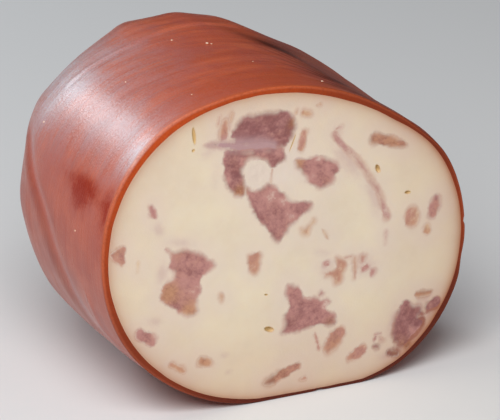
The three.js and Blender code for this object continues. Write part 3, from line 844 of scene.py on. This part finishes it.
def paste_finish():
    """Creamy paste: the colours of the cut, darker and tanner near the skin, partly its own colour and
    partly painted shade, with painted shade towards the bottom and right, yellow in the air holes, a greasy,
    slightly uneven gloss and the drag of the knife."""
    material, tree, shader = new_finish("cheese paste")
    stroke = object_millimetres(tree, (22, 1, 1.3), (0, math.radians(20), 0))
    drag = speckle(tree, stroke, 1.0, 2.0)
    colour, thread, fine = cut_colours(tree)
    rim_toast_and_shade, pit = noted(tree, "rim_toast_and_shade"), noted(tree, "hole")
    # The tan near the skin is partly the paste's own colour and partly painted shade.
    plug(tree, shader, {
        "Base Color": layered(tree, colour, (rim_toast_and_shade, (170, 104, 66)), (pit, (198, 160, 96))),
        "Roughness": ranged(tree, drag, 0.3, 0.7, 0.4, 0.52),
        "Subsurface Weight": 0.18,
        "Subsurface Radius": (1.0, 0.62, 0.36),
        "Subsurface Scale": 0.7 * MILLIMETRE,
    })
    bumped(tree, shader, summed(tree, (fine, 0.8), (drag, 0.8)), 0.04)
    return material


paste = paste_body()
for section in sections:
    carve(paste, lump("pocket", section.outline, POCKET_SLACK), "DIFFERENCE")
for values in HOLES:
    carve(paste, hole(*values), "DIFFERENCE")
shaded(paste)
x, y, z = millimetres(paste.data).T
on_cut = y < CUT_ZONE
deep = np.full(len(x), -REACH)
pale, brown, fat = np.full(len(x), 0.5), np.zeros(len(x)), np.zeros(len(x))
fibres = np.stack([x / 2, y, z], 1)
for section in sections:
    outline = section.outline
    near = on_cut.copy()
    for place, part in ((x, outline.real), (z, outline.imag)):
        near &= (place > part.min() - REACH) & (place < part.max() + REACH)
    near = np.flatnonzero(near)
    inward = SPREAD_EDGE.get(section.name, 0) - distance_to(outline, x[near], z[near])
    nearest = inward > deep[near]
    closer = near[nearest]
    deep[closer] = inward[nearest]
    pale[closer], brown[closer], fat[closer] = section.pale, section.brown, section.finish == "fat"
    fibres[closer] = along_fibres(section, x[closer], y[closer], z[closer])
deep += bridged(x, z) * on_cut
stain, pits = np.zeros(len(x)), np.zeros(len(x))
for *oval, strength in STAINS:
    stain = np.maximum(stain, strength * np.exp(-oval_share(*oval, x, z) ** 2) * on_cut)
for *oval, depth in HOLES:
    pits = np.maximum(pits, 0.85 * ease(1.25 - oval_share(*oval, x, z), 0, 0.45) * on_cut)
to_skin = np.maximum(np.abs(paste_edge(np.arctan2(z, x))) - np.hypot(x, z), 0)
note_cut(paste.data, deep, pale, brown, on_cut * SINEW_STRENGTH * sinew_share(x, z), fat, fibres)
note(paste.data, "stain", stain)
note(paste.data, "white", np.clip(blobs(WHITE_ZONES, x, z), 0, 0.9) * on_cut)
note(paste.data, "hole", pits)
# Near the skin the paste is darker and tanner, partly its own colour and partly painted shade; the broad
# darkening, stronger on the right, and the darkening towards the bottom and right are painted shade.
toast_and_shade = (0.46 + 0.22 * ease(x, 24, 44)) * np.exp(-to_skin / 1.5) + 0.18 * np.exp(-to_skin / 12)
toast_and_shade += 0.09 * (1 - ease(z, -32, -12)) + 0.06 * ease(x, 22, 38)
note(paste.data, "rim_toast_and_shade", np.where(on_cut, toast_and_shade, 0.5))
dress(paste, paste_finish())
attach(paste, BODY)
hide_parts("cheese")

# ---------------------------------------------------------------------------------------------
# The smoked skin. The outer millimetre or two of the cheese, coloured and hardened by the smoke,
# with the print of the casing on it: fine rings, creases, soft facets and, at the tied end, pleats.

SKIN_SIDES = 440
SKIN_ROWS = 172
INNER_ROWS = 12
SKIN_CREASE = 60
EDGE_ROUND = 0.35  # radius of the edge between the skin and the cut
# Nicks in that edge: turn and half width in degrees, and depth.
NICKS = [(357.8, 0.8, 0.4), (31, 7, 0.6), (283, 1.4, 0.45), (347, 4, 0.5)]
EDGE_DROP, EDGE_WAVES = 0.04, 0.6  # the edge lies this far behind the cut, with less of its waves
GIRTH = 305
TIE_PLEATS = 27


def wrap_noise(turn, y, size_round, size_along, seed):
    """Noise on the skin that closes round the log: stretched over size_round along the skin and
    size_along behind the cut, both in millimetres."""
    laps = max(4, round(GIRTH / size_round))
    lattice = np.random.default_rng(seed).uniform(-1, 1, (laps, 400))
    return blended(lattice, np.mod(turn / FULL_TURN, 1) * laps, (y + 5) / size_along)


# Lines on the skin: the turn in degrees and how far behind the cut, from end to end.
CHINE = [
    (158, 57), (162.5, 51), (166, 46.5), (170.5, 39.7), (176, 33.8), (182, 30), (188, 26), (195, 22.5),
    (202, 18), (209, 12.5),
]
LOW_GROOVE = [(190, 12.5), (195, 11.8), (200, 11), (203, 8.7), (205, 5.5), (207, 2)]
RING_CREASE = [(74, 54), (86.5, 54.8), (97.5, 54.2), (108.8, 52), (115, 51), (128, 50.4), (140, 51.5)]
FAN_MIDDLE = 50.0  # turn at which the grooves at the top right meet the cut
FAN_SLOPES = [0.32, 0.5, 0.74, 0.95, 1.24, 1.5, 1.85, 2.1]


def beside_line(line, degrees, y):
    """How far behind a line a place lies, and 1 along the line, fading to 0 past its two ends."""
    turns, depths = np.array(line).T
    behind = y - np.interp(degrees, turns, depths)
    return behind, between(degrees, turns[0] - 3, turns[0] + 3, turns[-1] - 3, turns[-1] + 3)


def bell(value, width):
    """A bell curve of that half width, 1 at nought."""
    return np.exp(-((value / width) ** 2))


def skin_relief(turn, y):
    """Height of the print of the casing: rings, low waves, the chine, creases, the fan of grooves
    at the top right, and fine pleats about the tie."""
    degrees = np.degrees(turn) % 360
    height = 0.012 * wrap_noise(turn, y, 34, 2.1, 51) + 0.03 * wrap_noise(turn, y, 60, 5.2, 52)
    height += 0.17 * wrap_noise(turn, y, 17, 15, 53) + 0.05 * wrap_noise(turn, y, 7, 5, 56)
    behind, along = beside_line(CHINE, degrees, y)
    height += along * (0.26 * bell(behind, 3.6) - 0.42 * bell(behind - 7.5, 5))
    behind, along = beside_line(LOW_GROOVE, degrees, y)
    height -= along * 0.35 * bell(behind, 1.5)
    behind, along = beside_line(RING_CREASE, degrees, y)
    height += along * (0.15 * bell(behind, 0.8) - 0.13 * bell(behind - 1.8, 1.2))
    height -= 0.16 * fan_grooves(degrees, y)
    pleats = 0.5 + 0.5 * np.cos(turn * TIE_PLEATS + 3.0 * wrap_noise(turn, y, 24, 30, 54))
    uneven = 0.5 + 0.5 * wrap_noise(turn, y, 15, 40, 55)
    return height - 0.5 * pleats * uneven * between(y, 78, 95, 97.2, LENGTH)


def fan_grooves(degrees, y):
    """Where the grooves lie that open like a fan from the cut at the top right, each broken here
    and there."""
    total = np.zeros_like(y)
    for number, slope in enumerate(FAN_SLOPES):
        lean = degrees - FAN_MIDDLE
        line = slope * np.clip(lean, 0, 60) + 0.9 * number
        total += bell(y - line, 0.6 + 0.15 * number) * between(lean, 0, 8, 16, 38)
    broken = 0.62 + 0.5 * wrap_noise(np.radians(degrees), y, 9, 5, 57)
    return np.clip(total * broken, 0, 1) * (1 - ease(y, 30, 50))


def skin_body():
    """The skin: one profile carried round the log. It runs from the tip along the inside to the
    cut, across the cut edge, round its corner and along the outside back to the tip."""
    turn = np.linspace(0, FULL_TURN, SKIN_SIDES, endpoint=False)
    inner = LENGTH * (1 - (np.arange(1, INNER_ROWS + 1) / (INNER_ROWS + 1)) ** 1.6)
    edge_share = np.linspace(1, 0, 8)[:-1]
    corner = np.linspace(0, math.pi / 2, 6)
    outer = LENGTH * (1 - (1 - (np.arange(1, SKIN_ROWS + 1) / (SKIN_ROWS + 1)) ** 0.93) ** 1.45)
    thickness = skin_thickness(turn)
    nick = sum(deep * bell((np.degrees(turn) - at + 180) % 360 - 180, half) for at, half, deep in NICKS)
    still = np.zeros(SKIN_SIDES)
    lie = lambda point: EDGE_DROP + knife_cut(point[:, 0], point[:, 2]) * EDGE_WAVES
    rows = [skin(turn, still + y, thickness) for y in inner]
    for share in edge_share:
        point = skin(turn, still, EDGE_ROUND + share * (thickness - EDGE_ROUND) + (1 - share) * nick)
        point[:, 1] += lie(point) + 0.12 * max(0, share - 0.85) / 0.15
        rows.append(point)
    for angle in corner:
        point = skin(turn, still, EDGE_ROUND * (1 - math.sin(angle)) + nick)
        point[:, 1] += lie(point) * math.cos(angle) + EDGE_ROUND * (1 - math.cos(angle))
        rows.append(point)
    first_outer = len(rows)
    for y in outer:
        start = still + EDGE_ROUND + y * (1 - EDGE_ROUND / LENGTH)
        rows.append(skin(turn, start, nick * (1 - ease(y, 0.2, 1.8))))
    grid = np.array(rows)
    round_step = np.roll(grid, -1, 1) - np.roll(grid, 1, 1)
    along_step = np.gradient(grid, axis=0)
    normal = np.cross(round_step, along_step)
    normal /= np.linalg.norm(normal, axis=-1, keepdims=True)
    behind = np.zeros(len(rows))
    behind[first_outer:] = outer
    height = skin_relief(turn[None, :], behind[:, None] * np.ones((1, SKIN_SIDES)))
    height *= ease(behind, 0, 1.5)[:, None]
    resting = grid[:, :, 2] < 0.3 - CENTRE_HEIGHT
    height = np.where(resting, np.minimum(height, 0) * 0.3, height)
    grid = grid + normal * height[..., None]
    grid[..., 2] = np.maximum(grid[..., 2], -CENTRE_HEIGHT)
    inner_tip = skin(np.zeros(1), np.full(1, LENGTH), 1.2)
    outer_tip = skin(np.zeros(1), np.full(1, LENGTH), 0.0)
    points = np.concatenate([grid.reshape(-1, 3), inner_tip, outer_tip])
    index = np.arange(grid[..., 0].size).reshape(-1, SKIN_SIDES)
    tips = to_tip(index[0, ::-1], index.size) + to_tip(index[-1], index.size + 1)
    piece = mesh_of("rind", points, between_rings(index).tolist() + tips)
    across_edge = np.zeros(len(rows))
    across_edge[:INNER_ROWS] = 1.0
    across_edge[INNER_ROWS:INNER_ROWS + len(edge_share)] = edge_share
    return piece, turn, behind, across_edge


def skin_finish():
    """Smoked skin: reddish brown with faint streaks round the log, orange where it is thin, a waxy milky
    bloom with a painted highlight and sheen, dark red where it is bare of bloom, painted shade on the dark
    side, painted light and shade on the cut edge, and satin gloss."""
    material, tree, shader = new_finish("smoked skin")
    place = object_millimetres(tree)
    streak = speckle(tree, object_millimetres(tree, (15, 0.8, 15)), 1.0, 3.0, 0.5)
    band = speckle(tree, object_millimetres(tree, (30, 4, 30)), 1.0, 3.0, 0.5)
    cloud = speckle(tree, place, 9, 4.0)
    pores = speckle(tree, place, 0.6, 3.0)
    calm, edge_light_and_shade, across, bloom_and_highlight, edge = [
        noted(tree, name) for name in ("calm", "edge_light_and_shade", "across", "bloom_and_highlight", "edge")
    ]
    # The milky film: partly real bloom, partly painted highlight and sheen.
    film_and_highlight = summed(tree, (streak, 0.9), (cloud, 0.9), (pores, 1.1), (1.0, -0.95))
    film_and_highlight = ranged(tree, film_and_highlight, 0.15, 0.85, ranged(tree, calm, 0.0, 1.0, 0.48, 0.7), 1.24)
    fleck = speckle(tree, place, 2.4, 3.0, 0.6)
    bare = summed(tree, (noted(tree, "bare"), 1.0), (fleck, 0.9), (pores, 0.4), (1.0, -0.65))
    colour = layered(
        tree, (180, 81, 50),
        (ranged(tree, band, 0.34, 0.68), (200, 98, 64)),
        (worked(tree, "MULTIPLY", calm, 0.75), (184, 87, 62)),
        (ranged(tree, cloud, 0.36, 0.66, 0.0, 0.7), (168, 74, 56)),
        (ranged(tree, streak, 0.53, 0.74, 0.0, ranged(tree, calm, 0.0, 1.0, 0.45, 0.08)), (132, 48, 32)),
        (noted(tree, "orange"), (176, 74, 38)),
        # the milky bloom, which also paints the highlight and sheen
        (worked(tree, "MULTIPLY", film_and_highlight, bloom_and_highlight), (199, 180, 184)),
        (ranged(tree, bare, 0.0, 0.95), (150, 42, 20)),
        (noted(tree, "shade"), (60, 16, 9)),
    )
    # Painted highlight: the outer band of the cut edge turns to a pale glint where the edge is lit, as on
    # its rounded corner.
    outer = worked(tree, "MULTIPLY", ranged(tree, across, 0.0, 0.35, 0.55, 0.0), edge_light_and_shade)
    corner_highlight = layered(tree, (204, 108, 68), (bloom_and_highlight, (235, 196, 186)))
    # The cut edge: painted shade to painted light by its turn, the painted corner highlight, then the tan
    # inner edge and dark pores.
    edge_colour_and_light = layered(
        tree, mixed(tree, outer, layered(tree, (74, 20, 6), (edge_light_and_shade, (188, 72, 16))), corner_highlight),
        (ranged(tree, across, 0.8, 1.0, 0.0, 0.3), (184, 96, 48)),
        (ranged(tree, pores, 0.4, 0.7, 0.0, 0.25), (118, 38, 12)),
    )
    rough = ((streak, 0.3), (cloud, 0.3), (edge, 0.15), (noted(tree, "dull"), 0.6), (1.0, 0.06))
    plug(tree, shader, {
        "Base Color": mixed(tree, edge, colour, edge_colour_and_light),
        "Roughness": summed(tree, *rough),
        "Specular IOR Level": 0.2,
        "Coat Weight": 0.1,
        "Coat Roughness": 0.22,
        "Subsurface Weight": 0.08,
        "Subsurface Radius": (1.0, 0.3, 0.15),
        "Subsurface Scale": 0.8 * MILLIMETRE,
    })
    bumped(tree, shader, summed(tree, (streak, 1.0), (pores, 1.2)), 0.085)
    return material


rind, turn, behind, across_edge = skin_body()
shaded(rind, SKIN_CREASE)
degrees = np.degrees(turn)[None, :] * np.ones((len(behind), 1))
depth = behind[:, None] * np.ones((1, SKIN_SIDES))
FAR_PART = (50, 72)  # the highlight and the dark side fade out this far behind the cut
# Painted light and shade on the cut edge of the skin, at equal turns from +x through +z: bright where light
# shines through it at the upper left, dark where it lies in shade at the bottom and right.
EDGE_LIGHT_AND_SHADE = np.array([
    0.45, 0.24, 0.33, 0.45, 0.74, 0.8, 1, 0.82, 0.6, 0.34, 0.28, 0.08, 0.05, 0.05, 0.06, 0.14])
# Spots on the skin: turn, half its width, how far behind the cut, half that width, and strength. The first
# are painted shade, as in shallow hollows; the second are dark red where the bloom is missing; the third are
# bloom with painted highlight and sheen.
SHADE_SPOTS = [(66, 8, 5.5, 3, 0.3), (64, 9, 15, 4, 0.3), (62, 9, 25, 4, 0.25), (66, 10, 43, 7, 0.4)]
BARE_SPOTS = [(159.3, 3.4, 16.5, 9, 1), (163.8, 3.2, 17, 4.2, 0.8)]
BLOOM_AND_SHEEN_SPOTS = [(143.5, 4.5, 0, 4.5, 0.6), (142, 16, 62, 14, 0.85), (203, 9, 20, 10, 0.34)]


def spots(rows):
    """The sum of spots, each a bell curve round the log times one along it."""
    return sum(
        strength * bell(degrees - at, half_turn) * bell(depth - behind_cut, half_depth)
        for at, half_turn, behind_cut, half_depth, strength in rows
    )


def over_skin(values, name):
    """Notes a number for the grid of the skin, and for its two tips."""
    note(rind.data, name, np.append(np.asarray(values, dtype=float).ravel(), [0, 0]))


outside = depth > 0
behind_chine, on_chine = beside_line(CHINE, degrees, depth)
behind_crease, on_crease = beside_line(RING_CREASE, degrees, depth)
over_skin(np.where(outside, 0, 1) * (1 - ease(depth, 0, 0.5)), "edge")
over_skin(across_edge[:, None] * np.ones((1, SKIN_SIDES)), "across")
# Painted light and shade on the cut edge of the skin, by its turn round the log.
over_skin(np.clip(round_the_log(EDGE_LIGHT_AND_SHADE, np.radians(degrees)), 0, 1), "edge_light_and_shade")
over_skin(0.7 * between(degrees, 62, 82, 118, 138) * (1 - ease(depth, 4, 24)), "orange")
bare = spots(BARE_SPOTS)
bare += 0.45 * bell(degrees - 162, 5) * (1 - ease(depth, 3, 9))
bare += 0.4 * bell(degrees - 165, 9) * (1 - ease(depth, 1.5, 5))
bare = np.clip(bare, 0, 1) * outside
over_skin(0.85 * bare, "bare")
over_skin(between(degrees, 146, 168, 300, 330), "calm")
near_part = 1 - ease(depth, *FAR_PART)
# The milky bloom, partly real and partly painted highlight and sheen: a band along the highlight's crest and
# its skirt, a painted haze at the far end and on the left, and painted light lines along the chine's ridge
# and the ring crease, with less in the chine's valley.
highlight_crest = 140.5 + 3.2 * bell(depth - 2, 7) - 2 * bell(depth - 17, 7)
film_and_highlight = (0.32 * bell(degrees - highlight_crest, 6.5) + 0.3 * bell(degrees - 140, 18)) * near_part
film_and_highlight *= 1 - 0.2 * bell(depth - 38, 16) * bell(degrees - 141, 9)
film_and_highlight += spots(BLOOM_AND_SHEEN_SPOTS) + 0.16 * bell(degrees - 120, 15) * ease(depth, 12, 42)
film_and_highlight += 0.06 * between(degrees, 172, 194, 225, 250)
film_and_highlight += 0.2 * on_chine * bell(behind_chine + 0.5, 1.8) + 0.04 * on_crease * bell(behind_crease, 0.7)
film_and_highlight *= 1 - 0.7 * on_chine * bell(behind_chine - 6, 4.5)
over_skin(np.clip(film_and_highlight + 0.045, 0, 1) * (1 - bare), "bloom_and_highlight")
fan = fan_grooves(degrees, depth)
# Painted shade: the dark side at the top right, the fan of grooves and the hollows, a slanting dark band,
# and the valley beside the chine.
shade = 0.46 * bell(degrees - 52, 17) * near_part + 0.42 * fan + spots(SHADE_SPOTS)
slant = bell(depth - 36 - 0.8 * (degrees - 62), 4.5) * between(degrees, 56, 63, 76, 86)
shade += 0.35 * slant + 0.24 * on_chine * bell(behind_chine - 5, 3.2)
over_skin(np.clip(shade, 0, 0.9) * outside, "shade")
over_skin(np.clip(bell(degrees - 50, 24) * near_part + 0.5 * fan, 0, 1) * outside, "dull")
dress(rind, skin_finish())
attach(rind, BODY)
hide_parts("cheese")

# Beads of fat that dried on the skin. A few sit where the light catches them.
BEADS = [
    (94.8, 40.5, 0.42), (93.6, 39.6, 0.28), (172.2, 16.7, 0.3), (70.2, 8, 0.36), (118.4, 9.4, 0.25),
    (128, 33, 0.25), (104.5, 47, 0.3), (182.5, 41, 0.25), (152.5, 51.5, 0.3), (88, 22.5, 0.22),
    (231, 34, 0.3), (20, 52, 0.3), (312, 40, 0.28), (340, 22, 0.25),
]
BEAD_SIDES = 14


def bead(turn, y, radius):
    """A low dome on the skin: rings of points at equal angles, flattened along the skin's normal."""
    place = lambda t, d: skin(np.array([t]), np.array([d]))[0]
    middle = place(turn, y)
    along = place(turn, y + 0.1) - place(turn, y - 0.1)
    beside = place(turn + 0.002, y) - place(turn - 0.002, y)
    along, beside = along / np.linalg.norm(along), beside / np.linalg.norm(beside)
    out = np.cross(beside, along)
    angles = np.linspace(0, FULL_TURN, BEAD_SIDES, endpoint=False)
    rings = []
    for lift in np.linspace(-0.4, 0.45, 7) * math.pi:
        flat = np.cos(angles)[:, None] * along + np.sin(angles)[:, None] * beside
        rings.append(middle + radius * (math.cos(lift) * flat + 0.5 * math.sin(lift) * out))
    return loft("bead", rings)


def bead_finish():
    """Dried fat: yellowish white, glossy, cloudy inside."""
    material, tree, shader = new_finish("dried fat")
    cloudy = speckle(tree, object_millimetres(tree), 0.25, 2.0)
    colour = layered(tree, (226, 178, 150), (ranged(tree, cloudy, 0.3, 0.7), (240, 214, 190)))
    plug(tree, shader, {"Base Color": colour, "Roughness": 0.25})
    return material


beads = [bead(math.radians(at), y, radius) for at, y, radius in BEADS]
join(beads, "skin_beads")
shaded(beads[0], SKIN_CREASE)
dress(beads[0], bead_finish())
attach(beads[0], BODY)

# ---------------------------------------------------------------------------------------------
# The camera, at the photograph's angle, then the floor and the lights of a small studio.

CAMERA_AZIMUTH, CAMERA_ELEVATION = math.radians(-27), math.radians(20)
CAMERA_DISTANCE = 1155.15
CAMERA_LENS = 324.0
CAMERA_TARGET = (-10.6, 0.0, 11.34)

back = np.array([
    math.sin(CAMERA_AZIMUTH) * math.cos(CAMERA_ELEVATION),
    -math.cos(CAMERA_AZIMUTH) * math.cos(CAMERA_ELEVATION),
    math.sin(CAMERA_ELEVATION),
])


def aimed(name, data, place, towards):
    """A camera or a lamp at a place in metres, which looks against the direction it stands in."""
    thing = placed(name, data)
    thing.location = place
    thing.rotation_mode = "QUATERNION"
    thing.rotation_quaternion = (-towards).to_track_quat("-Z", "Y")
    return thing


camera_place = Vector(metres(np.array(CAMERA_TARGET) + back * CAMERA_DISTANCE))
camera = aimed("camera", bpy.data.cameras.new("camera"), camera_place, Vector(back))
camera.data.lens = CAMERA_LENS
camera.data.sensor_width = 36.0
camera.data.clip_start = 0.01
camera.data.clip_end = 50.0
bpy.context.scene.camera = camera

HALF_FLOOR = 3.0  # in metres
floor_mesh = bpy.data.meshes.new("floor")
floor_corners = [(x * HALF_FLOOR, y * HALF_FLOOR, 0) for x, y in ((-1, -1), (1, -1), (1, 1), (-1, 1))]
floor_mesh.from_pydata(floor_corners, [], [(0, 1, 2, 3)])
floor = placed("floor", floor_mesh)
floor_material, floor_tree, floor_shader = new_finish("studio floor")
plug(floor_tree, floor_shader, {"Base Color": (0.75, 0.75, 0.75, 1), "Roughness": 0.9})
dress(floor, floor_material)
floor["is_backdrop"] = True


LAMP_TARGET = (0, 0, 0.045)  # in metres


def softbox(name, direction, distance, size, power, colour=(1, 1, 1)):
    """A square soft light that looks at the middle of the log, from a direction and a distance."""
    light = bpy.data.lights.new(name, "AREA")
    light.size = size
    light.energy = power
    light.color = colour
    towards = Vector(direction).normalized()
    aimed(name, light, Vector(LAMP_TARGET) + towards * distance, towards)


softbox("window", (-0.28, 0.87, 0.41), 0.9, 0.2, 2.1, (0.86, 0.93, 1.0))
softbox("front", (-0.42, -0.6, 0.68), 0.85, 0.55, 7.8)
world = bpy.data.worlds.new("studio")
bpy.context.scene.world = world
world.use_nodes = True
sky = world.node_tree.nodes["Background"]
plug(world.node_tree, sky, {"Color": (0.97, 0.98, 1.0, 1), "Strength": 0.14})
world.cycles_visibility.glossy = False
bpy.context.scene.view_settings.view_transform = "Standard"

boxes = {"cad": cad_box, "visual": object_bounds()}
{name: [list(corner) for corner in box] for name, box in boxes.items()}
